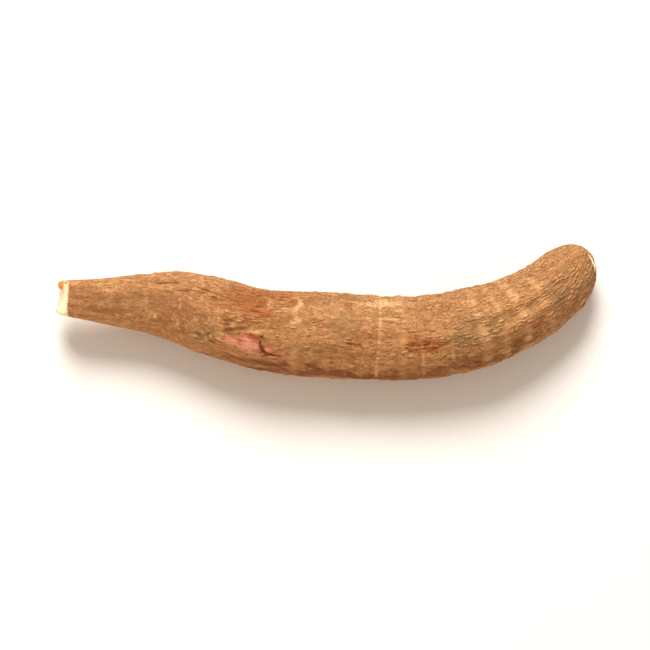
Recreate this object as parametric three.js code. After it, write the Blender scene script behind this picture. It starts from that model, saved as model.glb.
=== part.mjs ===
// One whole cassava root, cut from its plant at the neck and lying on its side as it comes to rest.
//
// Millimetres, +Z up. +X runs from the cut neck to the blunt tip, and +Y is the side that both ends bend to.
// The origin is at the middle of the root's length and width, on the surface that it lies on.
// The root is one grown body, so it is one closed mesh: a skin of rings along a bent centreline,
// the sloping cut face at the neck and the blunt pole at the tip.

import * as THREE from "three";

// Driving sizes.
const lengthAlong = 338.5; // from the middle of the cut to the tip, along the centreline
const stationStep = 23; // arc length from one station to the next

// The centreline and the half sizes, one row for each station: x, y, z, half width, half height.
const stations = [
  [-160.1, 7.2, 25.5, 10.2, 9.4],
  [-136.5, 5.4, 25.2, 13.3, 12.9],
  [-113.6, 4.6, 23.6, 17, 16.6],
  [-90.8, 2.8, 22.2, 21.3, 20.8],
  [-68.6, -4.1, 22.3, 23.6, 22.9],
  [-46.4, -11.5, 24.2, 24, 23.6],
  [-23.7, -14.4, 25.4, 25.4, 24.6],
  [-0.8, -15.8, 25.3, 25.9, 25.2],
  [22.1, -17.7, 24.6, 25.1, 25.2],
  [45.1, -18.5, 24.2, 24.4, 24.7],
  [67.9, -16.3, 24.6, 24.4, 24.2],
  [90.4, -11.3, 25, 24, 23.8],
  [111.8, -2.3, 23.4, 22.4, 22.4],
  [133, 11.5, 20.3, 20.8, 20.2],
  [147.2, 27.8, 16.3, 18.2, 17.4],
  [157.4, 47.2, 14, 12, 14.5],
];

// Rounding of the tip, as arc length before the pole over which the skin closes.
const tipRounding = 40;
const tipBluntness = 3.7; // 2 would be an oval end, more is blunter

// The neck is cut slantwise: the upper edge of the cut is nearer the tip, and the lower edge is notched.
// The woody neck is squarish. The cut face sinks a little, and a stub of wood stands out of it.
const cutLean = 0.5; // millimetres along the root for each millimetre across the cut
const cutNotch = 2; // millimetres
const cutFade = 42; // arc length over which the rings turn from the cut's slope to square
const neckSquareness = 3; // how far the power of the section's curve is above the 2 of an oval
const neckRoll = 18; // degrees, how far the squarish section and the cut's slope are turned from upright
const cutSink = 0.9; // millimetres
const stub = { y: 7.6, z: 3.2, radius: 5, out: 3 };

// Slow swellings that keep the section from being a plain oval: share of the radius, turns, waves, start.
const swellings = [
  [0.016, 2, 1.6, 0.6],
  [0.013, 3, 2.7, 2.1],
  [0.008, 5, 4.3, 4.4],
];

// Long bark ridges that wander round the root: share of the radius, ridges round, waves along, wander, start.
const ridges = [
  [0.012, 9, 2.6, 1.1, 0.5],
  [0.009, 13, 4.1, 1.7, 3.3],
];
const ridgeGrowth = 0.3; // how much taller the ridges are at the tip than at the neck, as a share

// Growth rings, where the skin is drawn in: arc length, depth, half width.
const rings = [
  [51, 0.35, 2.2],
  [92, 0.3, 2.4],
  [127, 0.45, 2.6],
  [160, 0.3, 2.4],
  [192, 0.6, 2.4],
  [217, 0.4, 2.2],
  [234, 0.45, 2.4],
  [271, 0.35, 2.2],
  [298, 0.4, 2.4],
];

// Rootlet scars, small swellings where side roots broke off: arc length, degrees round, radius, height.
const scars = [
  [46, 35, 5, 0.9],
  [88, 205, 7, 1.1],
  [146, 318, 6, 1.2],
  [205, 20, 7, 0.9],
  [243, 250, 6, 1.0],
  [281, 70, 7, 0.8],
  [306, 170, 5, 0.9],
];

// Places where the outer bark has peeled off: arc length, degrees round, half length, half width, depth.
const peeled = [
  [119, 129, 17, 6.5, 0.7],
  [197, 50, 13, 5, 0.4],
  [150, 232, 16, 7, 0.6],
];

// How fine the mesh is.
const ringsAlong = 96;
const pointsRound = 52;
const cutRings = [0.94, 0.84, 0.72, 0.6, 0.46, 0.3, 0.15];
const tipCrowding = 0.35; // how strongly the last rings crowd towards the pole

const turn = 2 * Math.PI;
const degree = Math.PI / 180;

// A smooth value through the rows of the station table: a uniform Catmull-Rom curve, straight past its ends.
function alongStations(column, arc) {
  const i = Math.floor(arc / stationStep);
  const f = arc / stationStep - i;
  const row = (k) => {
    const near = Math.min(Math.max(k, 0), stations.length - 2);
    const [here, next] = [stations[near][column], stations[near + 1][column]];
    return here + (k - near) * (next - here);
  };
  const [a, b, c, d] = [row(i - 1), row(i), row(i + 1), row(i + 2)];
  const slope = (c - a) * f;
  const bend = (2 * a - 5 * b + 4 * c - d) * f * f;
  const twist = (3 * b - a - 3 * c + d) * f * f * f;
  return b + (slope + bend + twist) / 2;
}

function centre(arc) {
  return new THREE.Vector3(...[0, 1, 2].map((column) => alongStations(column, arc)));
}

// Unit vectors at a place on the centreline: onward, sideways to +Y, and upward.
function frameAt(arc) {
  const reach = 2;
  const onward = centre(arc + reach).sub(centre(arc - reach)).normalize();
  const side = new THREE.Vector3(0, 0, 1).cross(onward).normalize();
  const up = onward.clone().cross(side);
  return { onward, side, up };
}

// A smooth hump that is 1 at distance 0 and 0 from distance 1 on.
function hump(distance) {
  const d = Math.min(Math.abs(distance), 1);
  return (1 - d * d) ** 2;
}

function angleBetween(a, b) {
  const gap = Math.abs(a - b) % turn;
  return Math.min(gap, turn - gap);
}

// How far the skin stands out from the plain oval, in millimetres.
function relief(arc, angle, radius) {
  const share = arc / lengthAlong;
  let out = 0;
  for (const [size, turns, waves, start] of swellings)
    out += radius * size * Math.sin(turns * angle + turn * waves * share + start);
  for (const [size, count, waves, wander, start] of ridges)
    out += radius * size * (1 + ridgeGrowth * share) *
      Math.sin(count * angle + wander * Math.sin(turn * waves * share + start));
  for (const [at, depth, halfWidth] of rings) out -= depth * hump((arc - at) / (2 * halfWidth));
  for (const [at, degrees, size, height] of scars) {
    const round = radius * angleBetween(angle, degrees * degree);
    out += height * hump(Math.hypot(arc - at, round) / size);
  }
  for (const [at, degrees, halfLength, halfWidth, depth] of peeled) {
    const round = radius * angleBetween(angle, degrees * degree);
    out -= depth * hump(Math.hypot((arc - at) / halfLength, round / halfWidth));
  }
  return out;
}

// How much of its size the section keeps as the tip closes.
function closing(arc) {
  const past = Math.max(0, (arc - (lengthAlong - tipRounding)) / tipRounding);
  return Math.max(0, 1 - past ** tipBluntness) ** (1 / tipBluntness);
}

// A point of the skin. Near the neck the ring leans with the cut.
// What would lie below the surface is flat on it.
function skinPoint(arc, angle) {
  const fade = Math.max(0, 1 - arc / cutFade) ** 2;
  const rolled = angle - neckRoll * degree;
  const power = 2 + neckSquareness * fade;
  const sum = Math.abs(Math.cos(rolled)) ** power + Math.abs(Math.sin(rolled)) ** power;
  const oval = sum ** (-1 / power);
  const across = alongStations(4, arc) * oval * Math.sin(rolled);
  const notch = cutNotch * hump(angleBetween(rolled, 1.5 * Math.PI));
  const at = arc + (cutLean * across + notch) * fade;
  const { side, up } = frameAt(at);
  const wide = alongStations(3, at);
  const high = alongStations(4, at);
  const radius = (wide + high) / 2;
  const closed = closing(arc);
  const out = oval + (relief(at, angle, radius) * closed) / radius;
  const point = centre(at)
    .addScaledVector(side, wide * closed * out * Math.cos(angle))
    .addScaledVector(up, high * closed * out * Math.sin(angle));
  point.z = Math.max(point.z, 0);
  return point;
}

// A point of the cut face, a share of the way from its middle to its rim.
function cutPoint(share, angle) {
  const rim = skinPoint(0, angle);
  const opposite = skinPoint(0, angle + Math.PI);
  const middle = rim.clone().add(opposite).multiplyScalar(0.5);
  const heart = centre(0).lerp(middle, share);
  const point = heart.lerp(rim, share);
  const { onward } = frameAt(0);
  const y = point.y - centre(0).y - stub.y;
  const z = point.z - centre(0).z - stub.z;
  const flatTopped = Math.min(1, 2 * hump(Math.hypot(y, z) / stub.radius));
  const standing = stub.out * flatTopped * (1 - share ** 12); // nothing stands out at the rim itself
  return point.addScaledVector(onward, cutSink * (1 - share * share) - standing);
}

// Ring places along the root: even, then crowding towards the pole so that the tip comes out round.
function ringPlace(i) {
  const share = i / ringsAlong;
  const crowded = Math.sin((share * Math.PI) / 2);
  const mixed = share + (crowded - share) * tipCrowding * share ** 3;
  return mixed * lengthAlong;
}

function rootGeometry() {
  const positions = [];
  const faces = [];
  const add = (point) => positions.push(point.x, point.y, point.z) / 3 - 1;
  const ringOf = (pointAt) =>
    Array.from({ length: pointsRound }, (_, j) => add(pointAt((j / pointsRound) * turn)));
  const join = (near, far) => {
    for (let j = 0; j < pointsRound; j++) {
      const k = (j + 1) % pointsRound;
      faces.push(near[j], near[k], far[k], near[j], far[k], far[j]);
    }
  };

  const heart = add(cutPoint(0, 0));
  const loops = cutRings
    .toReversed()
    .map((share) => ringOf((angle) => cutPoint(share, angle)));
  for (let i = 0; i < ringsAlong; i++)
    loops.push(ringOf((angle) => skinPoint(ringPlace(i), angle)));
  const pole = add(centre(lengthAlong));

  for (let i = 0; i + 1 < loops.length; i++) join(loops[i], loops[i + 1]);
  const [first, last] = [loops[0], loops[loops.length - 1]];
  for (let j = 0; j < pointsRound; j++) {
    const k = (j + 1) % pointsRound;
    faces.push(heart, first[k], first[j]);
    faces.push(pole, last[j], last[k]);
  }

  const geometry = new THREE.BufferGeometry();
  geometry.setAttribute("position", new THREE.Float32BufferAttribute(positions, 3));
  geometry.setIndex(faces);
  geometry.computeVertexNormals();
  return geometry;
}

// Dry brown bark over the whole root.
const bark = new THREE.MeshStandardMaterial({ color: 0xb97f50, roughness: 0.85, metalness: 0 });

const root = new THREE.Mesh(rootGeometry(), bark);
root.name = "cassava_root";

const part = new THREE.Group();
part.add(root);

export default part;
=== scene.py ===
# A whole cassava root, cut from its plant at the neck and lying on a pale floor.
#
# The frame gives the root's plain form. This script repeats that form as a fine skin and gives it its bark:
# long plates with cracks between them, growth rings, rootlet scars, pores and peeled places.
# The cut face at the neck, the loose scales and flaps of bark, and the dry fibre at the tip with its twig
# are pieces of their own.
#
# Sizes are in millimetres until a mesh is made, and lights are placed in metres. A place on the root is
# an arc length from the cut and an angle round it: 0 degrees is the side that both ends bend to, 90 is up
# and 180 is the other side.

import itertools
import math

import bpy
import mathutils
import numpy as np
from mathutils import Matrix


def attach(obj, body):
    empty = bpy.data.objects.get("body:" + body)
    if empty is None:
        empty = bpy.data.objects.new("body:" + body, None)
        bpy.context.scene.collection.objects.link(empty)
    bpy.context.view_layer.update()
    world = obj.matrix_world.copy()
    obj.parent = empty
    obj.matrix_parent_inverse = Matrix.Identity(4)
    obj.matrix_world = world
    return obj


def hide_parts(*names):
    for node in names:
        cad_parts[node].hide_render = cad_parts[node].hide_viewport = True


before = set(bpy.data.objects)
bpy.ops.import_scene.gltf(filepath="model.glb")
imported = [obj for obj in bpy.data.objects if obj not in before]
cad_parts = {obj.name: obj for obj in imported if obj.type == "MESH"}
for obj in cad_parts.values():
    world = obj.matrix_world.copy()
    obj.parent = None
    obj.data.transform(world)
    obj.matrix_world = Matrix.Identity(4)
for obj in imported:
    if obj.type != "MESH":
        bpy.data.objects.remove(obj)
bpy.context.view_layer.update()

MM = 0.001
TURN = 2 * math.pi

# The camera: above the root, a little to its lower side in the picture.
VIEW_ELEVATION = 72
VIEW_DISTANCE = 1100
PIXEL = 0.6  # millimetres of the root for one pixel of the picture
PICTURE_WIDTH = 650
SENSOR_WIDTH = 36
AIM = (-1.5, -10, 25)

# The lights: place in metres, size, power, tint.
KEY_LIGHT = ((-0.15, 1.0, 1.2), 1.0, 37, (1, 1, 1))
FILL_LIGHT = ((-0.3, -1.0, 0.7), 1.0, 7, (1, 0.8, 0.6))
SKY_TINT = (1, 0.97, 0.93, 1)
SKY_STRENGTH = 0.43
FLOOR_SIZE = 8
FLOOR_TINTS = (0.79, 0.75, 0.7, 1), (0.81, 0.77, 0.72, 1)

# The plain form, as in the part's source.
LENGTH_ALONG = 338.5
STATION_STEP = 23
STATIONS = np.array([  # x, y, z of the centreline, half width, half height
    [-160.1, 7.2, 25.5, 10.2, 9.4],
    [-136.5, 5.4, 25.2, 13.3, 12.9],
    [-113.6, 4.6, 23.6, 17, 16.6],
    [-90.8, 2.8, 22.2, 21.3, 20.8],
    [-68.6, -4.1, 22.3, 23.6, 22.9],
    [-46.4, -11.5, 24.2, 24, 23.6],
    [-23.7, -14.4, 25.4, 25.4, 24.6],
    [-0.8, -15.8, 25.3, 25.9, 25.2],
    [22.1, -17.7, 24.6, 25.1, 25.2],
    [45.1, -18.5, 24.2, 24.4, 24.7],
    [67.9, -16.3, 24.6, 24.4, 24.2],
    [90.4, -11.3, 25, 24, 23.8],
    [111.8, -2.3, 23.4, 22.4, 22.4],
    [133, 11.5, 20.3, 20.8, 20.2],
    [147.2, 27.8, 16.3, 18.2, 17.4],
    [157.4, 47.2, 14, 12, 14.5],
])
TIP_ROUNDING = 40
TIP_BLUNTNESS = 3.7
CUT_LEAN = 0.5
CUT_NOTCH = 2
CUT_FADE = 42
NECK_SQUARENESS = 3
NECK_ROLL = math.radians(18)
CUT_SINK = 0.9
STUB_Y = 7.6
STUB_Z = 3.2
STUB_RADIUS = 5
STUB_OUT = 3
SWELLINGS = [(0.016, 2, 1.6, 0.6), (0.013, 3, 2.7, 2.1), (0.008, 5, 4.3, 4.4)]
RIDGES = [(0.012, 9, 2.6, 1.1, 0.5), (0.009, 13, 4.1, 1.7, 3.3)]
RIDGE_GROWTH = 0.3
RING_FURROWS = [  # arc length, depth, half width
    (51, 0.35, 2.2), (92, 0.3, 2.4), (127, 0.45, 2.6), (160, 0.3, 2.4), (192, 0.6, 2.4),
    (217, 0.4, 2.2), (234, 0.45, 2.4), (271, 0.35, 2.2), (298, 0.4, 2.4),
]
SCARS = [  # arc length, degrees round, radius, height
    (46, 35, 5, 0.9), (88, 205, 7, 1.1), (146, 318, 6, 1.2), (205, 20, 7, 0.9),
    (243, 250, 6, 1.0), (281, 70, 7, 0.8), (306, 170, 5, 0.9),
]
HOLLOWS = [(119, 129, 17, 6.5, 0.7), (197, 50, 13, 5, 0.4), (150, 232, 16, 7, 0.6)]

# How fine the skin is. The cut's shares are how far its rings are out from its middle.
RINGS_ALONG = 380
POINTS_ROUND = 258
TIP_CROWDING = 0.35
CUT_SHARES = [
    1, 0.985, 0.965, 0.94, 0.91, 0.87, 0.82, 0.76, 0.7, 0.63, 0.56, 0.49, 0.42, 0.34, 0.26, 0.18, 0.1, 0.04,
]

# How rough the bark is along the root: smooth at the neck, scaly towards the tip.
ROUGH_AT = [0, 40, 90, 150, 200, 235, 265, 336]
ROUGH_IS = [0.12, 0.2, 0.34, 0.42, 0.48, 0.66, 0.74, 0.78]

# The bark's plates, in two layers: length, plates to a ring, tilt, depth of the cracks, seed.
PLATE_LAYERS = [(6, 84, 0.09, 0.12, 10), (4, 112, 0.06, 0.09, 20)]

# How pale the bark is along the root, from 0 to 1.
TONE_AT = [0, 60, 130, 200, 250, 339]
TONE_IS = [0.0, 0.1, 0.3, 0.55, 0.75, 0.95]

# Pale growth rings: arc length, first and last degree round, strength.
RING_LINE_REACH = 1.5
RING_LINES = [
    (51, 92, 128, 0.4), (51, 200, 300, 0.5), (92, 210, 330, 0.5), (127.5, 55, 110, 0.55),
    (160, 205, 300, 0.5), (192, 20, 172, 1.0), (192, 200, 340, 0.7), (217, 118, 168, 0.85),
    (217, 215, 290, 0.6), (233.5, 78, 92, 0.8), (233.5, 102, 162, 0.75), (234, 250, 345, 0.6),
    (271.5, 60, 150, 0.3), (298, 220, 330, 0.5),
]

# Peeled places with the pink rind showing:
# arc length, degrees round, half length, half width, slant in degrees.
PEELS = [
    (110.5, 130, 5, 3, 4), (119.8, 128, 6.8, 6, 14), (130, 137.5, 5.8, 3, 38),
    (150, 232, 13, 5.5, 8), (139, 226, 5, 3, -10), (255, 288, 7, 3, 5), (72, 262, 6, 2.6, 0),
]
# Deep tears beside them, given the same way. Their dark red-brown is partly the torn bark's own colour and
# partly painted shadow under the lifted bark.
TEARS_AND_SHADOWS = [
    (126.6, 138, 4.8, 1.5, 52), (125, 128, 3, 0.6, 80), (131, 143.5, 4.6, 1.0, 30),
    (125.2, 116, 2.2, 0.6, 70), (137, 224, 3, 0.9, 60), (150, 220, 10, 0.9, 5),
]
# Fissures in the bark, thin and dark, given the same way.
FISSURES = [
    (111.8, 113, 8, 1.1, -25), (106.8, 104, 3, 1.0, -20), (106.5, 110, 2, 0.6, -20),
    (88, 68, 8, 0.5, 3), (80, 74, 7, 0.5, -2), (72, 79, 6, 0.5, 0), (95, 77, 6, 0.5, 4),
    (62, 66, 7, 0.45, -3), (120.5, 75, 3.5, 0.5, 0), (120, 83, 4, 0.6, 2), (134.5, 53, 2, 0.7, 0),
    (129, 55, 2, 0.6, 0), (176, 118, 6, 0.5, 2), (140, 250, 9, 0.6, 2), (98, 300, 8, 0.6, -3),
    (228, 205, 7, 0.6, 3), (90, 137, 2.6, 0.5, 20), (97, 131, 2, 0.5, -25), (101, 142, 2.4, 0.5, 10),
]
# Orange-brown inner bark inside the peeled places.
BANDS = [(120.5, 118.5, 5.5, 2.6, 12), (126, 129, 2.4, 4, 0), (133, 141, 4, 1.8, 30), (150, 224, 9, 2, 8)]
# Scraped places, paler and smoother than the bark round them, with a strength.
SCRAPES = [
    (196, 50, 12, 4.6, 0.9), (186, 57, 5, 3.4, 0.8), (144.6, 66, 2.2, 6.0, 0.75),
    (142.2, 94, 1.7, 1.0, 0.75), (145.2, 92, 1.6, 0.8, 0.75), (143.6, 90, 0.8, 1.8, 0.6),
    (92, 133, 1.6, 0.9, 0.6), (96, 140, 1.1, 1.9, 0.5),
    (88, 141, 2, 0.8, 0.6), (99, 135, 1, 1.6, 0.6), (94, 147, 2.2, 0.7, 0.5), (103, 131, 2, 1, 0.5),
    (197, 79, 6, 0.6, 0.9), (185, 80, 5, 0.6, 0.6), (204, 66, 9, 1.0, 0.5), (240, 300, 9, 5, 0.8),
    (74, 104, 0.8, 2.2, 0.55), (95, 111, 0.7, 1.8, 0.5), (101, 107, 0.7, 1.8, 0.5), (57, 130, 1.3, 1.3, 0.6),
    (2.8, 78, 1.4, 2.6, 0.8),
]
# Stains: arc length, degrees round, half length, half width, strength.
RUST_STAINS = [
    (217, 120.5, 11.5, 6.2, 1.0), (116, 62, 20, 14, 0.68), (134, 50, 14, 10, 0.68), (279, 138, 6, 2.6, 0.8),
    (180, 260, 14, 7, 0.8),
]
GREY_STAINS = [
    (92, 136, 10, 7, 0.8), (169, 92, 10, 6, 0.55), (244, 114, 15, 11, 1.0), (296, 119, 6, 5, 1.0),
    (40, 110, 20, 8, 0.4), (268, 210, 16, 10, 0.6), (303, 106, 14, 9, 0.4),
]
# Painted shade: darker patches, mostly low on the sides.
PAINTED_SHADE_PATCHES = [
    (168, 178, 70, 9, 1.0), (240, 164, 40, 9, 0.8), (68, 106, 26, 14, 0.45), (20, 108, 22, 8, 0.35),
    (156, 57, 15, 9, 0.3), (114, 62, 24, 15, 0.55), (130, 330, 150, 9, 0.5), (111, 118, 7, 2.2, 0.4),
]
# Broad pale bands across the root: arc length, half width, strength.
PALE_BANDS = [
    (143, 2, 0.3), (206, 2, 0.35), (251, 2, 0.75), (262, 1.3, 0.6), (274, 2.2, 1.0), (288, 1.4, 0.5),
]
# Pinholes: arc length, degrees round, radius.
PINHOLES = [(63.5, 85, 1.0), (180, 79, 1.0), (174, 80, 0.8), (225, 236, 1.0)]
# Short pale pores that lie across the root: how many, and the ranges of their half sizes.
PORE_COUNT = 90
PORE_HALF_LENGTHS = (0.55, 0.8)
PORE_HALF_WIDTHS = (1.2, 3.0)

# How far the bark's marks stand out of the skin or go into it.
RING_HEIGHT = 0.12
PORE_HEIGHT = 0.16
GRAIN_HEIGHT = 0.07
WAVE_HEIGHT = 0.4
SCALY_DEPTH = 0.2
PEEL_DEPTH = 0.5
TEAR_DEPTH = 0.35
FISSURE_DEPTH = 0.3
SCRAPE_DEPTH = 0.12
PINHOLE_DEPTH = 0.5

# Flaps of bark that stand up at the peeled places:
# arc length, degrees round, length, width, lift, side that lifts (1 is downwards in the picture).
FLAPS = [
    (122.5, 112.5, 8, 2.2, 0.8, 1), (131, 148, 10, 2.6, 1.0, -1),
    (106, 135.5, 9, 1.8, 0.6, -1), (121.5, 143.5, 8, 1.6, 0.6, -1),
    (150, 217, 20, 2.6, 0.9, 1), (146, 246, 17, 2.6, 0.9, -1),
]
# The ochre wood on the stub and a small dark slit beside it, seen from the cut's middle.
OCHRE_Y = 8
OCHRE_Z = 2.8
SLIT_Y = 6.8
SLIT_Z = 7.9
SLIT_HALF_WIDTH = 1.1
SLIT_HALF_HEIGHT = 1.8
# The knife's slice beside the cut.
SLICE_ANGLE = math.radians(196)
SLICE_SPREAD = math.radians(62)
SLICE_REACH = 3.8
SLICE_REACH_ALL_ROUND = 0.7

# The loose scales: how many, the ranges of their sizes, how fine each is, how far they stay from the middle
# of bare places and fissures, in those marks' own sizes, and how low on the root they may lie.
LOOSE_SCALES = 1500
SCALE_LENGTHS = (2.6, 6)
SCALE_WIDTHS = (0.9, 1.8)
SCALE_LIFTS = (0.05, 0.3)
SCALE_THICKNESS = 0.28
SCALE_COLUMNS = 7
SCALE_ROWS = 3
CLEAR_OF_BARE = 1.35
CLEAR_OF_FISSURE = 2
LOWEST_SCALE = 4

# The dry fibre at the tip and its twig: arc length, degrees round, height over the skin, radius.
FIBRE = [
    (331.8, 121, 0.2, 0.35), (330.4, 129, 0.5, 0.5), (329, 136, 0.7, 0.65), (327.4, 144, 0.8, 0.7),
    (326.3, 151, 0.5, 0.4),
]
TWIG = [(328.2, 140, 0.5, 0.5), (328.4, 146, 2.6, 0.45), (328.6, 150, 4.6, 0.3)]
FIBRE_SIDES = 8


def along_stations(column, arc):
    """A smooth value through the rows of the table: a uniform Catmull-Rom curve, straight past its ends."""
    i = np.floor(arc / STATION_STEP).astype(int)
    f = arc / STATION_STEP - i

    def row(k):
        near = np.clip(k, 0, len(STATIONS) - 2)
        here = STATIONS[near, column]
        return here + (k - near) * (STATIONS[near + 1, column] - here)

    a, b, c, d = row(i - 1), row(i), row(i + 1), row(i + 2)
    slope = (c - a) * f
    bend = (2 * a - 5 * b + 4 * c - d) * f**2
    twist = (3 * b - a - 3 * c + d) * f**3
    return b + (slope + bend + twist) / 2


def centre(arc):
    return np.stack([along_stations(column, arc) for column in range(3)], axis=-1)


def radius_at(arc):
    return (along_stations(3, arc) + along_stations(4, arc)) / 2


def unit(vectors):
    return vectors / np.linalg.norm(vectors, axis=-1, keepdims=True)


def frame_at(arc):
    """Unit vectors at a place on the centreline: onward, sideways to +Y, and upward."""
    reach = 2
    onward = unit(centre(arc + reach) - centre(arc - reach))
    side = unit(np.cross([0.0, 0.0, 1.0], onward))
    return onward, side, np.cross(onward, side)


def hump(distance):
    """A smooth hump that is 1 at distance 0 and 0 from distance 1 on."""
    return (1 - np.minimum(np.abs(distance), 1) ** 2) ** 2


def step(low, high, value):
    """0 at low and before it, 1 at high and past it, and a smooth change between."""
    share = np.clip((value - low) / (high - low), 0, 1)
    return share * share * (3 - 2 * share)


def away(arc, angle, radius, at, degrees, half_length, half_width, slant=0):
    """How far a place is from the middle of a mark: 1 is on the mark's edge."""
    along = arc - at
    round_it = radius * ((angle - math.radians(degrees) + math.pi) % TURN - math.pi)
    lean = math.radians(slant)
    long = along * math.cos(lean) + round_it * math.sin(lean)
    wide = round_it * math.cos(lean) - along * math.sin(lean)
    return np.hypot(long / half_length, wide / half_width)


def nearest(arc, angle, radius, marks):
    """The same for the nearest of several slanting marks."""
    return np.min([away(arc, angle, radius, *mark) for mark in marks], axis=0)


def plain_relief(arc, angle, radius):
    """How far the plain form stands out from an oval, in millimetres."""
    share = arc / LENGTH_ALONG
    out = np.zeros_like(arc)
    for size, turns, waves, start in SWELLINGS:
        out += radius * size * np.sin(turns * angle + TURN * waves * share + start)
    for size, count, waves, wander, start in RIDGES:
        bent = count * angle + wander * np.sin(TURN * waves * share + start)
        out += radius * size * (1 + RIDGE_GROWTH * share) * np.sin(bent)
    for at, depth, half_width in RING_FURROWS:
        out -= depth * hump((arc - at) / (2 * half_width))
    for at, degrees, size, height in SCARS:
        out += height * hump(away(arc, angle, radius, at, degrees, size, size))
    for at, degrees, half_length, half_width, depth in HOLLOWS:
        out -= depth * hump(away(arc, angle, radius, at, degrees, half_length, half_width))
    return out


def closing(arc):
    """How much of its size the section keeps as the tip closes."""
    past = np.maximum(0, (arc - (LENGTH_ALONG - TIP_ROUNDING)) / TIP_ROUNDING)
    return np.maximum(0, 1 - past**TIP_BLUNTNESS) ** (1 / TIP_BLUNTNESS)


def random_at(seed, *places):
    """A repeatable number from 0 to 1 for each whole-number place."""
    mixed = np.full(places[0].shape, seed, dtype=np.uint64)
    for place in places:
        mixed = (mixed * 747796405 + place.astype(np.int64).astype(np.uint64)) & 0xFFFFFFFF
        mixed = (((mixed >> ((mixed >> 28) + 4)) ^ mixed) * 277803737) & 0xFFFFFFFF
        mixed = mixed ^ (mixed >> 22)
    return mixed / 0xFFFFFFFF


def noise(points, size, seed, octaves=3):
    """Smooth noise, about -1 to 1. size is how long its waves are: one length, or one for each axis."""
    scaled = (points / np.asarray(size, dtype=float) + seed * 17.3).reshape(-1, 3)
    values = [mathutils.noise.fractal(place, 1, 2, octaves) for place in scaled.tolist()]
    return np.array(values).reshape(points.shape[:-1])


def straightened(arc, angle, radius):
    """The place as if the root were straight, so that noise runs along it and joins up round it."""
    return np.stack([arc, radius * np.cos(angle), radius * np.sin(angle)], axis=-1)


def plates(arc, angle, radius, length, count, seed):
    """Bark plates: cells of a jittered grid that wraps round the root, count to a ring.

    Gives each place its distance to its plate's edge in millimetres, its place across the plate
    from about -0.5 to 0.5, and two random numbers of the plate.
    """
    width = TURN * radius / count
    u = arc / length
    v = angle / TURN * count
    cells = []
    for step_u, step_v in itertools.product((-1, 0, 1), repeat=2):
        this_u, this_v = np.floor(u) + step_u, np.floor(v) + step_v
        wrapped = this_v % count
        one, two, three, four = (random_at(seed + k, this_u, wrapped) for k in range(4))
        cells.append([u - this_u - 0.1 - 0.8 * one, v - this_v - 0.15 - 0.7 * two, three, four])
    cells = np.array(cells)
    order = np.argsort(np.hypot(cells[:, 0], cells[:, 1]), axis=0)
    mine, other = (np.take_along_axis(cells, order[k][None, None], axis=0)[0] for k in range(2))
    link = mine[:2] - other[:2]
    reach = np.hypot(link[0], link[1])
    inside = -((mine[:2] + other[:2]) * link).sum(axis=0) / 2 / reach
    edge = inside * reach / np.hypot(link[0] / length, link[1] / width)
    return edge, mine[1], mine[2], mine[3]


def plate_marks(arc, angle, radius, scaly):
    """The relief of the bark's plates, and how far their cracks, their tints and the painted highlight on
    their lifted edges show.
    """
    out, crack, tint, lip_highlight = (np.zeros_like(arc) for _ in range(4))
    for length, count, tilt, depth, seed in PLATE_LAYERS:
        edge, across, one, two = plates(arc, angle, radius, length, count, seed)
        line = step(0.55, 0.1, edge)
        kept = np.where(two > 0.35, 1, 0.3)
        lifted = across * (0.35 + one) * tilt
        out += scaly * (0.3 * depth * (two - 0.5) + lifted - depth * line * kept)
        crack = np.maximum(crack, line * kept * scaly)
        # A painted highlight along the lifted edge of each plate.
        lip_highlight = np.maximum(lip_highlight, step(0.15, 0.45, across) * step(0.3, 0.8, edge) * one * scaly)
        tint += (two - 0.5) * scaly * 0.5
    return out, crack, tint, lip_highlight


def ring_marks(arc, angle, place):
    """How strongly the growth rings show: the fine lines alone, and with the broad pale bands."""
    ring_arc = arc + 0.5 * noise(place, (40, 9, 9), 7)
    degrees_round = np.degrees(angle) % 360
    broken = step(-0.45, 0.05, noise(place, (30, 4, 4), 8))
    lines = np.zeros_like(arc)
    for at, first, last, strength in RING_LINES:
        span = step(first - 8, first + 4, degrees_round) * step(last + 8, last - 4, degrees_round)
        lines = np.maximum(lines, strength * span * broken * hump((ring_arc - at) / RING_LINE_REACH))
    rings = lines
    for at, half_width, strength in PALE_BANDS:
        rings = np.maximum(rings, strength * broken * hump((ring_arc - at) / (2 * half_width)))
    return lines, rings


def strongest(arc, angle, radius, patch_table, end, full, wander):
    """How strongly the strongest of several patches shows: not at all from the distance end on, and fully
    within the distance full. The wander moves their edges. Stains, scrapes and painted shade are given so.
    """
    shown = np.zeros_like(arc)
    for *mark, strength in patch_table:
        near = away(arc, angle, radius, *mark) + wander
        shown = np.maximum(shown, strength * step(end, full, near))
    return shown


def pinholes(arc, angle, radius):
    """How deep a place is in the nearest pinhole, from 0 to 1."""
    spots = [away(arc, angle, radius, at, degrees, size, size) for at, degrees, size in PINHOLES]
    return hump(np.min(spots, axis=0))


def pores(arc, angle, radius):
    """Short pale pores that lie across the root, scattered all over it."""
    draw = np.random.default_rng(7)
    pore = np.zeros_like(arc)
    for _ in range(PORE_COUNT):
        at, where = draw.uniform(12, LENGTH_ALONG - 12), draw.uniform(0, 360)
        half_long, half_wide = draw.uniform(*PORE_HALF_LENGTHS), draw.uniform(*PORE_HALF_WIDTHS)
        strength = draw.uniform(0.35, 1)
        pore = np.maximum(pore, strength * hump(away(arc, angle, radius, at, where, half_long, half_wide)))
    return pore


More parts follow.
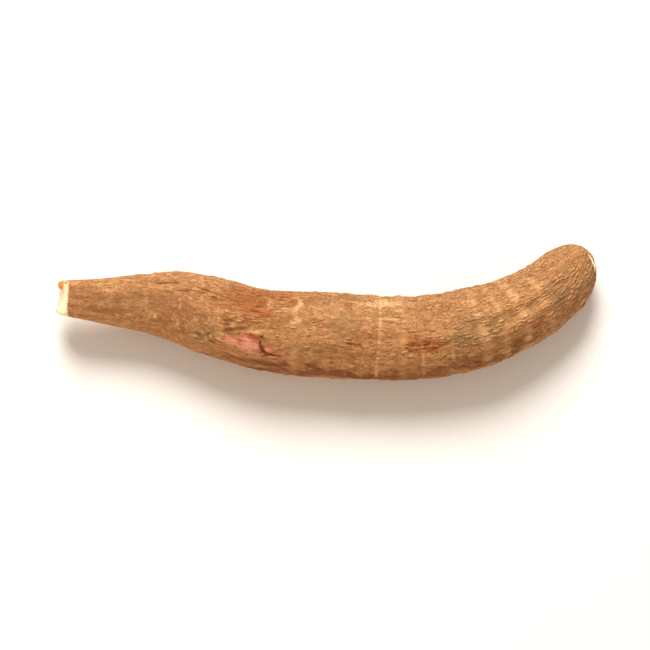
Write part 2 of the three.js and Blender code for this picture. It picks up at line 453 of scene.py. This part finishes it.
def bark(arc, angle, radius):
    """The bark's fine relief in millimetres, and the marks that the material reads, each from 0 to 1."""
    place = straightened(arc, angle, radius)
    ragged = noise(place, (3.5, 2.2, 2.2), 3)
    uneven = noise(place, (12, 8, 8), 14, 2) + 0.6 * ragged
    lines, rings = ring_marks(arc, angle, place)

    scaly = np.interp(arc, ROUGH_AT, ROUGH_IS) * (1 - 0.6 * rings)
    scaly = np.maximum(scaly, 0.8 * strongest(arc, angle, radius, RUST_STAINS, 1.25, 0.5, 0.25 * ragged))
    bent_arc = arc + 3 * noise(place, (10, 6, 6), 1)
    sway = 1.2 * noise(place, (14, 8, 8), 2) + 0.9 * noise(place, (5, 4, 4), 12, 2)
    bent_angle = angle + sway / np.maximum(radius, 6)
    out, crack, tint, lip_highlight = plate_marks(bent_arc, bent_angle, radius, scaly)
    out += RING_HEIGHT * lines - SCALY_DEPTH * scaly
    out += WAVE_HEIGHT * noise(place, (30, 15, 15), 4, 2)
    out += GRAIN_HEIGHT * noise(place, (4.5, 0.9, 0.9), 5, 2)

    near = nearest(arc, angle, radius, PEELS) + 0.32 * ragged + 0.12 * noise(place, 1.2, 9, 2)
    peel = step(1.04, 0.92, near)
    band = step(1.3, 0.5, nearest(arc, angle, radius, BANDS) + 0.4 * ragged)
    brink = peel * np.maximum(0.7 * step(0.6, 0.95, near), band)
    # The tears are dark red-brown: partly their own colour, partly painted shadow under the lifted bark.
    tear_and_shadow = step(1.2, 0.5, nearest(arc, angle, radius, TEARS_AND_SHADOWS) + 0.4 * ragged)
    fissure = step(1.3, 0.6, nearest(arc, angle, radius, FISSURES) + 0.35 * ragged) * (1 - peel)
    scratches = 0.5 * noise(place, (5, 0.9, 0.9), 15, 2) + 0.7 * noise(place, 2, 16, 2)
    scrape = strongest(arc, angle, radius, SCRAPES, 1.1, 0.5, 0.3 * uneven + scratches)
    pit = pinholes(arc, angle, radius)
    pore = pores(arc, angle, radius)
    out = out * (1 - peel) - PEEL_DEPTH * peel - TEAR_DEPTH * tear_and_shadow - FISSURE_DEPTH * fissure
    out += PORE_HEIGHT * pore - SCRAPE_DEPTH * scrape - PINHOLE_DEPTH * pit

    # rust and grey are stains of the bark; dark is painted shade.
    rust, grey, dark = (
        strongest(arc, angle, radius, patch_table, 1.3, 0.35, 0.7 * uneven)
        for patch_table in (RUST_STAINS, GREY_STAINS, PAINTED_SHADE_PATCHES)
    )
    marks = {
        "crack": np.clip(np.maximum.reduce([0.75 * crack, fissure, pit]), 0, 1), "fissure": fissure,
        "tint": np.clip(0.5 + tint, 0, 1), "lip_highlight": np.clip(lip_highlight, 0, 1), "peel": peel, "brink": brink,
        "tear_and_shadow": tear_and_shadow, "scrape": scrape, "ring": rings, "rust": rust, "grey": grey, "dark": dark,
        "pore": pore, "rough": scaly, "tone": np.interp(arc, TONE_AT, TONE_IS),
    }
    return out, marks


def sliced(arc, angle):
    """Where the knife also took the skin off beside the cut, most on the side that is low in the picture."""
    beside = (angle - SLICE_ANGLE + math.pi) % TURN - math.pi
    reach = SLICE_REACH * hump(beside / SLICE_SPREAD) + SLICE_REACH_ALL_ROUND * hump(beside / math.pi)
    return step(0.3, -0.3, arc - reach)


def skin(arc, angle, stand=0.0):
    """Points of the skin at arc lengths and angles, and the marks on it. stand lifts them off it."""
    fade = np.maximum(0, 1 - arc / CUT_FADE) ** 2
    rolled = angle - NECK_ROLL
    power = 2 + NECK_SQUARENESS * fade
    oval = (np.abs(np.cos(rolled)) ** power + np.abs(np.sin(rolled)) ** power) ** (-1 / power)
    across = along_stations(4, arc) * oval * np.sin(rolled)
    below = np.abs((rolled - 0.75 * TURN + math.pi) % TURN - math.pi)
    at = arc + (CUT_LEAN * across + CUT_NOTCH * hump(below)) * fade
    _, side, up = frame_at(at)
    wide, high = along_stations(3, at), along_stations(4, at)
    radius = (wide + high) / 2
    closed = closing(arc)
    girth = radius * np.maximum(closed, 0.05)
    fine, marks = bark(at, angle, girth)
    relief = plain_relief(at, angle, radius) * closed + (fine + stand) * np.minimum(1, closed * 2)
    out = closed * oval + relief / radius
    points = centre(at)
    points += side * (wide * out * np.cos(angle))[..., None]
    points += up * (high * out * np.sin(angle))[..., None]
    points[..., 2] = np.maximum(points[..., 2], 0)
    marks["sliced"] = sliced(arc, angle)
    marks["place"] = straightened(at, angle, girth)
    return points, marks


def ring_places():
    """Arc lengths of the rings: even, then crowding towards the pole so that the tip comes out round."""
    share = np.arange(RINGS_ALONG) / RINGS_ALONG
    crowded = np.sin(share * math.pi / 2)
    return (share + (crowded - share) * TIP_CROWDING * share**3) * LENGTH_ALONG


def make_piece(name, points, faces, material, marks=None):
    """A mesh object from points in millimetres, riding on the root, with its marks as attributes."""
    mesh = bpy.data.meshes.new(name)
    mesh.from_pydata((points.reshape(-1, 3) * MM).tolist(), [], faces)
    for key, values in (marks or {}).items():
        vector = values.shape == points.shape
        layer = mesh.attributes.new(key, "FLOAT_VECTOR" if vector else "FLOAT", "POINT")
        layer.data.foreach_set("vector" if vector else "value", values.ravel())
    mesh.polygons.foreach_set("use_smooth", [True] * len(mesh.polygons))
    mesh.materials.append(material)
    mesh.update()
    piece = bpy.data.objects.new(name, mesh)
    bpy.context.scene.collection.objects.link(piece)
    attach(piece, "root")
    return piece


def ring_faces(rings, points_round):
    """Quads between rings of points that are stored one after another."""
    faces = []
    for near in range(0, (rings - 1) * points_round, points_round):
        far = near + points_round
        for j in range(points_round):
            k = (j + 1) % points_round
            faces.append((near + j, near + k, far + k, far + j))
    return faces


def fan(pole, first, points_round):
    """Triangles from a ring of points to a point past it."""
    return [(first + j, first + (j + 1) % points_round, pole) for j in range(points_round)]


def with_end(points, marks):
    """The points and marks of rings, with one more point at the middle of the last ring."""
    flat = {}
    for key, values in marks.items():
        long = values.reshape(-1, 3) if values.shape == points.shape else values.ravel()
        flat[key] = np.concatenate([long, long[-1:]])
    return np.vstack([points.reshape(-1, 3), points[-1].mean(axis=0)]), flat


def make_skin(material):
    arc, angle = np.meshgrid(ring_places(), np.arange(POINTS_ROUND) / POINTS_ROUND * TURN, indexing="ij")
    points, marks = with_end(*skin(arc, angle))
    pole = len(points) - 1
    faces = ring_faces(RINGS_ALONG, POINTS_ROUND) + fan(pole, pole - POINTS_ROUND, POINTS_ROUND)
    piece = make_piece("root_skin", points, faces, material, marks)
    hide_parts("cassava_root")


def make_cut_face(material):
    """The sloping cut at the neck, from the skin's first ring to the middle, with its low stub of wood."""
    angle = np.arange(POINTS_ROUND) / POINTS_ROUND * TURN
    rim, _ = skin(np.zeros_like(angle), angle)
    middle = (rim + np.roll(rim, POINTS_ROUND // 2, axis=0)) / 2
    core = centre(np.array(0.0))
    share = np.array(CUT_SHARES)[:, None, None]
    heart = core + (middle - core) * share
    points = heart + (rim - heart) * share
    local = points - core
    across, up = local[..., 1], local[..., 2]
    inner = np.broadcast_to(share[..., 0], local.shape[:2])

    def flat_topped(y, z, rim_power):
        """A flat-topped bump round a place on the cut, which is gone at the rim."""
        from_middle = np.hypot(across - y, up - z)
        return np.minimum(1, 2 * hump(from_middle / STUB_RADIUS)) * (1 - inner**rim_power)

    rays = noise(np.stack([np.cos(angle), np.sin(angle), 0 * angle], axis=-1), 0.12, 31, 2)
    grain = noise(local, 1.1, 32, 2)
    fine = step(1, 0.9, inner) * (0.12 * grain + 0.07 * rays * step(0.2, 0.6, inner))
    sink = CUT_SINK * (1 - inner**2) - STUB_OUT * flat_topped(STUB_Y, STUB_Z, 12) + fine
    onward, _, _ = frame_at(np.array(0.0))
    points = points + onward * sink[..., None]
    slit = hump(np.hypot((across - SLIT_Y) / SLIT_HALF_WIDTH, (up - SLIT_Z) / SLIT_HALF_HEIGHT))
    marks = {
        "inner": inner, "ochre": flat_topped(OCHRE_Y, OCHRE_Z, 30), "slit": slit,
        "rays": np.broadcast_to(rays, inner.shape), "local": local,
    }
    points, marks = with_end(points, marks)
    pole = len(points) - 1
    faces = ring_faces(len(CUT_SHARES), POINTS_ROUND) + fan(pole, pole - POINTS_ROUND, POINTS_ROUND)
    make_piece("cut_face", points, [face[::-1] for face in faces], material, marks)


def scale_places():
    """Where the loose scales lie: mostly where the bark is rough, none on peeled places or underneath."""
    draw = np.random.default_rng(11)
    rusty = [mark[:4] for mark in RUST_STAINS]
    bare = PEELS + [mark[:4] for mark in SCRAPES]
    places = []
    while len(places) < LOOSE_SCALES:
        at, degrees = draw.uniform(4, LENGTH_ALONG - 2.5), draw.uniform(0, 360)
        rough = np.interp(at, ROUGH_AT, ROUGH_IS)
        radius = radius_at(np.array(at))
        angle = math.radians(degrees)
        on_rust = nearest(at, angle, radius, rusty) < 1.2
        on_bare = nearest(at, angle, radius, bare) < CLEAR_OF_BARE
        on_fissure = nearest(at, angle, radius, FISSURES) < CLEAR_OF_FISSURE
        low = centre(np.array(at))[2] + radius * math.sin(angle) < LOWEST_SCALE
        if on_bare or on_fissure or low or draw.uniform(0, 1) > max(rough**2.2, 0.6 * on_rust):
            continue
        size = 0.55 + 0.45 * rough
        side = 1 if draw.uniform(0, 1) < 0.7 else -1
        length, width = size * draw.uniform(*SCALE_LENGTHS), size * draw.uniform(*SCALE_WIDTHS)
        lift = size * draw.uniform(*SCALE_LIFTS)
        places.append((at, degrees, length, width, lift, side))
    return places


def scale_faces(columns, rows):
    """Faces of one closed scale: its top grid of points, its bottom grid and the rim between them."""
    below = columns * rows
    faces = []
    for i, j in itertools.product(range(columns - 1), range(rows - 1)):
        a, b, c, d = i * rows + j, (i + 1) * rows + j, (i + 1) * rows + j + 1, i * rows + j + 1
        faces += [(a, b, c, d), (d + below, c + below, b + below, a + below)]
    rim = [i * rows for i in range(columns)]
    rim += [(columns - 1) * rows + j for j in range(1, rows)]
    rim += [i * rows + rows - 1 for i in range(columns - 2, -1, -1)]
    rim += [j for j in range(rows - 2, 0, -1)]
    for here, there in zip(rim, rim[1:] + rim[:1]):
        faces.append((here, here + below, there + below, there))
    return faces


def make_scales(name, places, material, seed):
    """Thin closed scales of bark. One long edge of each is on the skin and the other is lifted.

    u runs along a scale from -1 to 1, and v across it from 0, on the skin, to 1, at the lifted edge.
    """
    draw = np.random.default_rng(seed)
    at, degrees, length, width, lift, side = (column[:, None, None] for column in np.array(places).T)
    count = len(places)
    u = np.linspace(-1, 1, SCALE_COLUMNS)[None, :, None]
    v = np.linspace(0, 1, SCALE_ROWS)[None, None, :]
    ends = 0.25 + 0.75 * np.sqrt(1 - u**2)
    ragged = draw.uniform(0.7, 1.15, (count, SCALE_COLUMNS, 1))
    shift = draw.uniform(-0.1, 0.1, (count, SCALE_COLUMNS, 1))
    slant = draw.uniform(-0.22, 0.22, (count, 1, 1))
    along = u * length / 2
    round_it = side * ((v - 0.5) * ends * ragged + shift) * width + slant * along
    arc = np.clip(at + along + 0 * v, 1.5, LENGTH_ALONG - 1.2)
    angle = np.radians(degrees) + round_it / np.maximum(radius_at(arc) * closing(arc), 4)
    curl = lift * v**1.4 * draw.uniform(0.55, 1.0, (count, SCALE_COLUMNS, 1))
    arc, angle = (np.stack([values, values], axis=1) for values in (arc, angle))
    stand = np.stack([curl + SCALE_THICKNESS * (0.35 + 0.65 * v), curl - SCALE_THICKNESS], axis=1)
    points, marks = skin(arc, angle, stand)
    shape = points.shape[:-1]
    for key in ("crack", "fissure", "peel", "tear_and_shadow"):
        marks[key] = np.zeros(shape)
    marks["tint"] = np.broadcast_to(draw.uniform(0.2, 0.9, (count, 1, 1, 1)), shape)
    # A painted highlight along the lifted edge of each scale.
    marks["lip_highlight"] = np.broadcast_to(v[:, None] ** 2 * draw.uniform(0.1, 0.7, (count, 1, 1, 1)), shape)
    per_scale = 2 * SCALE_COLUMNS * SCALE_ROWS
    one = scale_faces(SCALE_COLUMNS, SCALE_ROWS)
    faces = []
    for k, place in enumerate(places):
        turned = [face[::-1] for face in one] if place[-1] > 0 else one
        faces += [tuple(k * per_scale + corner for corner in face) for face in turned]
    make_piece(name, points, faces, material, marks)


def make_fibre(name, path, material):
    """A thin closed root fibre that follows the skin: arc length, degrees round, height over it, radius."""
    arc, degrees, stand, radius = np.array(path).T
    spots = np.linspace(0, len(path) - 1, 4 * len(path))
    rows = (arc, degrees, stand, radius)
    arc, degrees, stand, radius = (np.interp(spots, range(len(path)), row) for row in rows)
    line, _ = skin(arc, np.radians(degrees), stand)
    along = unit(np.gradient(line, axis=0))
    side = unit(np.cross(along, [0.3, 0.2, 1.0]))
    out = np.cross(along, side)
    round_it = np.arange(FIBRE_SIDES) / FIBRE_SIDES * TURN
    ring = side[:, None] * np.cos(round_it)[:, None] + out[:, None] * np.sin(round_it)[:, None]
    tube = (line[:, None] + ring * radius[:, None, None]).reshape(-1, 3)
    points = np.vstack([tube, line[-1] + along[-1] * radius[-1], line[0] - along[0] * radius[0]])
    faces = ring_faces(len(line), FIBRE_SIDES) + fan(len(tube), len(tube) - FIBRE_SIDES, FIBRE_SIDES)
    faces += [face[::-1] for face in fan(len(tube) + 1, 0, FIBRE_SIDES)]
    make_piece(name, points, faces, material)


# Materials.

# Colours as a screen shows them, from 0 to 255.
PALETTE = {
    "neck": (146, 96, 54), "pale neck": (160, 110, 68), "tip": (182, 125, 74), "pale tip": (202, 146, 92),
    "blotch": (146, 93, 50), "pale patch": (212, 156, 104), "dark patch": (130, 82, 46),
    "pale brick": (214, 160, 104), "dark brick": (128, 78, 40),
    "pale streak": (216, 161, 104), "dark streak": (126, 78, 40),
    "pale plate": (206, 150, 94), "reddish": (186, 114, 76), "yellowish": (186, 144, 86),
    "dark speck": (112, 68, 34), "pale speck": (222, 170, 116),
    # The darkest of these two is painted shade, laid low on the sides.
    "grey stain": (130, 106, 74), "painted shade": (104, 50, 14),
    "dark rust": (122, 52, 8), "pale rust": (188, 104, 44),
    # The last colour here is the painted highlight on lifted edges.
    "scrape": (224, 184, 126), "ring": (222, 172, 118), "pore": (224, 178, 126), "lip_highlight": (226, 176, 118),
    # The tears' colour is partly painted shadow under the lifted bark.
    "hairline": (106, 60, 28), "crack": (104, 60, 28), "fissure": (96, 50, 18), "tear_and_shadow": (112, 42, 16),
    "deep pink": (200, 118, 90), "pale pink": (220, 158, 130), "brown pink": (192, 106, 70),
    "brink": (158, 78, 34), "slice": (240, 208, 168),
    "flesh": (252, 243, 205), "warm flesh": (244, 226, 176), "ray": (232, 206, 150),
    "rind": (240, 205, 168), "outer rind": (232, 178, 142), "rim": (196, 134, 88),
    "pale ochre": (248, 202, 144), "dark ochre": (206, 124, 46), "ochre": (220, 146, 72),
    "slit": (128, 92, 30), "fibre": (226, 196, 150), "pale fibre": (244, 226, 192),
}


def paint(name):
    """A colour of the palette as the linear numbers that a shader takes."""
    def linear(value):
        share = value / 255
        return share / 12.92 if share <= 0.04045 else ((share + 0.055) / 1.055) ** 2.4
    return (*(linear(value) for value in PALETTE[name]), 1.0)


class Nodes:
    """A short way to write a material's nodes. A call adds nodes and gives the last one's output."""

    def __init__(self, name):
        self.material = bpy.data.materials.new(name)
        self.material.use_nodes = True
        self.tree = self.material.node_tree
        self.shader = self.tree.nodes["Principled BSDF"]

    def add(self, kind, output, settings=None, **inputs):
        """One node. An input is given by its name, or as n and its number."""
        node = self.tree.nodes.new(kind)
        for key, value in (settings or {}).items():
            setattr(node, key, value)
        for key, value in inputs.items():
            self.put(node.inputs[int(key[1:]) if key[0] == "n" else key], value)
        return node.outputs[output]

    def put(self, socket, value):
        if isinstance(value, bpy.types.NodeSocket):
            self.tree.links.new(value, socket)
        else:
            socket.default_value = value

    def attribute(self, name, output="Fac"):
        return self.add("ShaderNodeAttribute", output, {"attribute_name": name})

    def maths(self, operation, a, b=0.0):
        return self.add("ShaderNodeMath", 0, {"operation": operation}, n0=a, n1=b)

    def stretched(self, vector, scale):
        return self.add("ShaderNodeVectorMath", 0, {"operation": "MULTIPLY"}, n0=vector, n1=scale)

    def wavy(self, vector, scale, amount):
        """The vector pushed about by noise, so that what is drawn with it comes out wavy."""
        push = self.add("ShaderNodeTexNoise", 1, None, Vector=vector, Scale=scale)
        return self.add(
            "ShaderNodeVectorMath", 0, {"operation": "ADD"}, n0=vector, n1=self.stretched(push, amount),
        )

    def noise(self, vector, scale, detail=4.0, roughness=0.55):
        return self.add(
            "ShaderNodeTexNoise", 0, None, Vector=self.stretched(vector, scale), Scale=1.0,
            Detail=detail, Roughness=roughness,
        )

    def cells(self, vector, scale, feature="F1", output=0):
        place = self.stretched(vector, scale)
        return self.add("ShaderNodeTexVoronoi", output, {"feature": feature}, Vector=place, Scale=1.0)

    def between(self, value, low, high, to_low=0.0, to_high=1.0):
        return self.add(
            "ShaderNodeMapRange", 0, {"interpolation_type": "SMOOTHSTEP"}, n0=value, n1=low, n2=high,
            n3=to_low, n4=to_high,
        )

    def mix(self, share, a, b):
        """Colour a turning to colour b as share goes from 0 to 1."""
        node = self.tree.nodes.new("ShaderNodeMix")
        node.data_type = "RGBA"
        self.put(node.inputs[0], share)
        self.put(node.inputs[6], a)
        self.put(node.inputs[7], b)
        return node.outputs[2]

    def painted(self, shade, value, low, high, most, name):
        """The shade turned to a colour of the palette as the value goes from low to high."""
        return self.mix(self.between(value, low, high, 0.0, most), shade, paint(name))

    def marked(self, shade, mark, over, low, high, tint):
        """The shade turned to the tint where the mark is, more where the noise is high."""
        share = self.maths("MULTIPLY", self.attribute(mark), self.between(over, 0.3, 0.6, low, high))
        return self.mix(share, shade, tint)

    def finish(self, shade, roughness, specular):
        """The shader's own values. The roughness is a number or a socket."""
        self.put(self.shader.inputs["Base Color"], shade)
        self.put(self.shader.inputs["Roughness"], roughness)
        self.shader.inputs["Specular IOR Level"].default_value = specular
        return self.material

    def bump(self, height, distance, strength=0.6):
        bump = self.add("ShaderNodeBump", 0, None, Strength=strength, Distance=distance * MM, Height=height)
        self.put(self.shader.inputs["Normal"], bump)


def bark_material():
    """Brown bark in patches, streaks and bricks, paler towards the tip, with its marks over them."""
    n = Nodes("bark")
    place = n.attribute("place", "Vector")
    broad = n.between(n.noise(place, (0.03, 0.06, 0.06)), 0.35, 0.65)
    blotch = n.noise(place, (0.1, 0.16, 0.16))
    bent = n.wavy(n.wavy(place, 0.12, (4.0, 3.0, 3.0)), 0.5, (1.6, 0.9, 0.9))
    patch = n.noise(bent, (0.24, 0.42, 0.42), 3.0)
    hue = n.noise(place, (0.45, 0.6, 0.6), 3.0)
    streak = n.noise(bent, (0.2, 1.0, 1.0), 4.0, 0.6)
    speck = n.noise(place, (1.1, 1.6, 1.6), 3.0, 0.6)
    brick = n.add("ShaderNodeSeparateColor", 0, None, n0=n.cells(bent, (0.3, 0.7, 0.7), "F1", 1))
    hair = n.cells(bent, (0.26, 0.62, 0.62), "DISTANCE_TO_EDGE")
    # Painted shade and painted highlight: the bricks, streaks and cracks get more contrast on the side that
    # both ends bend to, which faces the key light and shows little of the relief's shading.
    lit_side_contrast = n.between(n.add("ShaderNodeSeparateXYZ", 1, None, n0=place), 0.0, 20.0, 1.0, 1.7)

    tip = n.mix(broad, paint("tip"), paint("pale tip"))
    neck = n.mix(broad, paint("neck"), paint("pale neck"))
    shade = n.mix(n.attribute("tone"), neck, tip)
    shade = n.painted(shade, blotch, 0.4, 0.66, 0.7, "blotch")
    shade = n.painted(shade, patch, 0.5, 0.66, 0.55, "pale patch")
    shade = n.painted(shade, patch, 0.48, 0.34, 0.5, "dark patch")
    # Bricks and streaks of the bark; their extra contrast on the lit side is painted shade and highlight.
    for value, low, high, most, name in (
        (brick, 0.5, 0.9, 0.38, "pale brick"), (brick, 0.45, 0.1, 0.34, "dark brick"),
        (streak, 0.5, 0.68, 0.42, "pale streak"), (streak, 0.5, 0.32, 0.36, "dark streak"),
    ):
        share = n.maths("MULTIPLY", lit_side_contrast, n.between(value, low, high, 0.0, most))
        shade = n.mix(share, shade, paint(name))
    shade = n.painted(shade, n.attribute("tint"), 0.3, 0.9, 0.4, "pale plate")
    shade = n.painted(shade, hue, 0.52, 0.68, 0.4, "reddish")
    shade = n.painted(shade, hue, 0.45, 0.3, 0.35, "yellowish")
    shade = n.painted(shade, speck, 0.52, 0.7, 0.45, "dark speck")
    shade = n.painted(shade, speck, 0.45, 0.27, 0.42, "pale speck")

    shade = n.marked(shade, "grey", blotch, 0.25, 0.65, paint("grey stain"))
    # Painted shade: darker patches, mostly low on the sides.
    shade = n.marked(shade, "dark", patch, 0.6, 0.9, paint("painted shade"))
    rusty = n.mix(n.between(streak, 0.36, 0.64), paint("dark rust"), paint("pale rust"))
    shade = n.marked(shade, "rust", patch, 0.65, 1.0, rusty)
    shade = n.marked(shade, "scrape", streak, 0.5, 0.95, paint("scrape"))
    shade = n.marked(shade, "ring", speck, 0.4, 0.75, paint("ring"))
    shade = n.mix(n.maths("MULTIPLY", n.attribute("pore"), 0.6), shade, paint("pore"))
    # Painted highlight on the lifted edges of the plates and scales.
    shade = n.marked(shade, "lip_highlight", speck, 0.3, 0.65, paint("lip_highlight"))

    fine = n.between(n.attribute("rough"), 0.05, 0.7, 0.3, 0.55)
    hairline = n.maths("MULTIPLY", n.between(hair, 0.1, 0.01), fine)
    hairline = n.maths("MULTIPLY", hairline, n.between(blotch, 0.35, 0.6, 1.0, 0.45))
    # The hairlines and cracks are drawn darker on the lit side: painted shade.
    shade = n.mix(n.maths("MULTIPLY", hairline, lit_side_contrast), shade, paint("hairline"))
    crack = n.maths("MULTIPLY", n.attribute("crack"), n.maths("MULTIPLY", lit_side_contrast, 0.6))
    shade = n.mix(crack, shade, paint("crack"))
    shade = n.mix(n.maths("MULTIPLY", n.attribute("fissure"), 0.6), shade, paint("fissure"))

    pink = n.mix(n.between(streak, 0.35, 0.65), paint("deep pink"), paint("pale pink"))
    pink = n.painted(pink, patch, 0.5, 0.7, 0.5, "brown pink")
    pink = n.marked(pink, "brink", speck, 0.6, 0.95, paint("brink"))
    shade = n.mix(n.attribute("peel"), shade, pink)
    # Tears: dark red-brown, partly painted shadow under the lifted bark.
    shade = n.mix(n.attribute("tear_and_shadow"), shade, paint("tear_and_shadow"))
    shade = n.mix(n.attribute("sliced"), shade, paint("slice"))

    height = n.maths("ADD", n.maths("MULTIPLY", streak, 0.9), n.maths("MULTIPLY", speck, 0.5))
    height = n.maths("ADD", height, n.maths("MULTIPLY", brick, 0.25))
    n.bump(n.maths("SUBTRACT", height, n.maths("MULTIPLY", hairline, 0.8)), 0.28)
    return n.finish(shade, roughness=n.between(speck, 0.3, 0.7, 0.75, 0.95), specular=0.2)


def cut_material():
    """Cream starchy flesh with faint rays, a pinkish rind, a brown rim and the ochre stub."""
    n = Nodes("cut_flesh")
    local = n.attribute("local", "Vector")
    inner = n.attribute("inner")
    grain = n.noise(local, (0.5, 0.5, 0.5))
    fine = n.noise(local, (2.2, 2.2, 2.2), 3.0)
    shade = n.mix(n.between(grain, 0.4, 0.65), paint("flesh"), paint("warm flesh"))
    shade = n.painted(shade, n.attribute("rays"), 0.1, 0.5, 0.3, "ray")
    edge = n.maths("ADD", inner, n.between(grain, 0.3, 0.7, -0.02, 0.02))
    shade = n.painted(shade, edge, 0.86, 0.9, 1.0, "rind")
    shade = n.painted(shade, edge, 0.94, 0.955, 1.0, "outer rind")
    shade = n.painted(shade, inner, 0.985, 0.998, 1.0, "rim")
    stained = n.attribute("ochre")
    shade = n.painted(shade, stained, 0.02, 0.12, 1.0, "pale ochre")
    ochre = n.mix(n.between(fine, 0.35, 0.65), paint("dark ochre"), paint("ochre"))
    shade = n.mix(n.between(stained, 0.14, 0.34), shade, ochre)
    shade = n.mix(n.attribute("slit"), shade, paint("slit"))
    n.bump(n.maths("ADD", grain, fine), 0.15)
    return n.finish(shade, roughness=0.6, specular=0.35)


def grained_material(name, dark, pale, scale, spread, roughness, specular):
    """A plain material with a fine grain of two close shades."""
    n = Nodes(name)
    place = n.add("ShaderNodeTexCoord", "Object")
    grain = n.add("ShaderNodeTexNoise", 0, None, Vector=place, Scale=scale, Detail=3.0)
    shade = n.mix(n.between(grain, 0.5 - spread, 0.5 + spread), dark, pale)
    return n.finish(shade, roughness, specular)


# The camera, the floor and the light.


def make_camera():
    elevation = math.radians(VIEW_ELEVATION)
    back = mathutils.Vector((0, -math.cos(elevation), math.sin(elevation)))
    data = bpy.data.cameras.new("camera")
    data.sensor_width = SENSOR_WIDTH
    data.lens = SENSOR_WIDTH * VIEW_DISTANCE / PIXEL / PICTURE_WIDTH
    data.clip_start = 0.05
    camera = bpy.data.objects.new("camera", data)
    camera.location = (mathutils.Vector(AIM) + back * VIEW_DISTANCE) * MM
    camera.rotation_euler = back.to_track_quat("Z", "Y").to_euler()
    bpy.context.scene.collection.objects.link(camera)
    bpy.context.scene.camera = camera


def make_light(name, place, size, power, tint):
    data = bpy.data.lights.new(name, "AREA")
    data.shape = "DISK"
    data.size = size
    data.energy = power
    data.color = tint
    light = bpy.data.objects.new(name, data)
    light.location = place
    light.rotation_euler = mathutils.Vector(place).to_track_quat("Z", "Y").to_euler()
    bpy.context.scene.collection.objects.link(light)


def make_stage():
    bpy.ops.mesh.primitive_plane_add(size=FLOOR_SIZE)
    floor = bpy.context.object
    floor.name = "floor"
    finish = grained_material("floor", *FLOOR_TINTS, scale=400, spread=0.2, roughness=0.9, specular=0.1)
    floor.data.materials.append(finish)
    world = bpy.data.worlds.new("world")
    world.use_nodes = True
    sky = world.node_tree.nodes["Background"]
    sky.inputs["Color"].default_value = SKY_TINT
    sky.inputs["Strength"].default_value = SKY_STRENGTH
    bpy.context.scene.world = world
    make_light("key", *KEY_LIGHT)
    make_light("fill", *FILL_LIGHT)
    bpy.context.scene.view_settings.view_transform = "Standard"


make_camera()
make_stage()
bark_finish = bark_material()
make_skin(bark_finish)
make_cut_face(cut_material())
make_scales("bark_scales", scale_places(), bark_finish, 21)
make_scales("bark_flaps", FLAPS, bark_finish, 22)
fibre_finish = grained_material(
    "dry_fibre", paint("fibre"), paint("pale fibre"), scale=900, spread=0.15, roughness=0.7, specular=0.3,
)
make_fibre("tip_fibre", FIBRE, fibre_finish)
make_fibre("tip_twig", TWIG, fibre_finish)
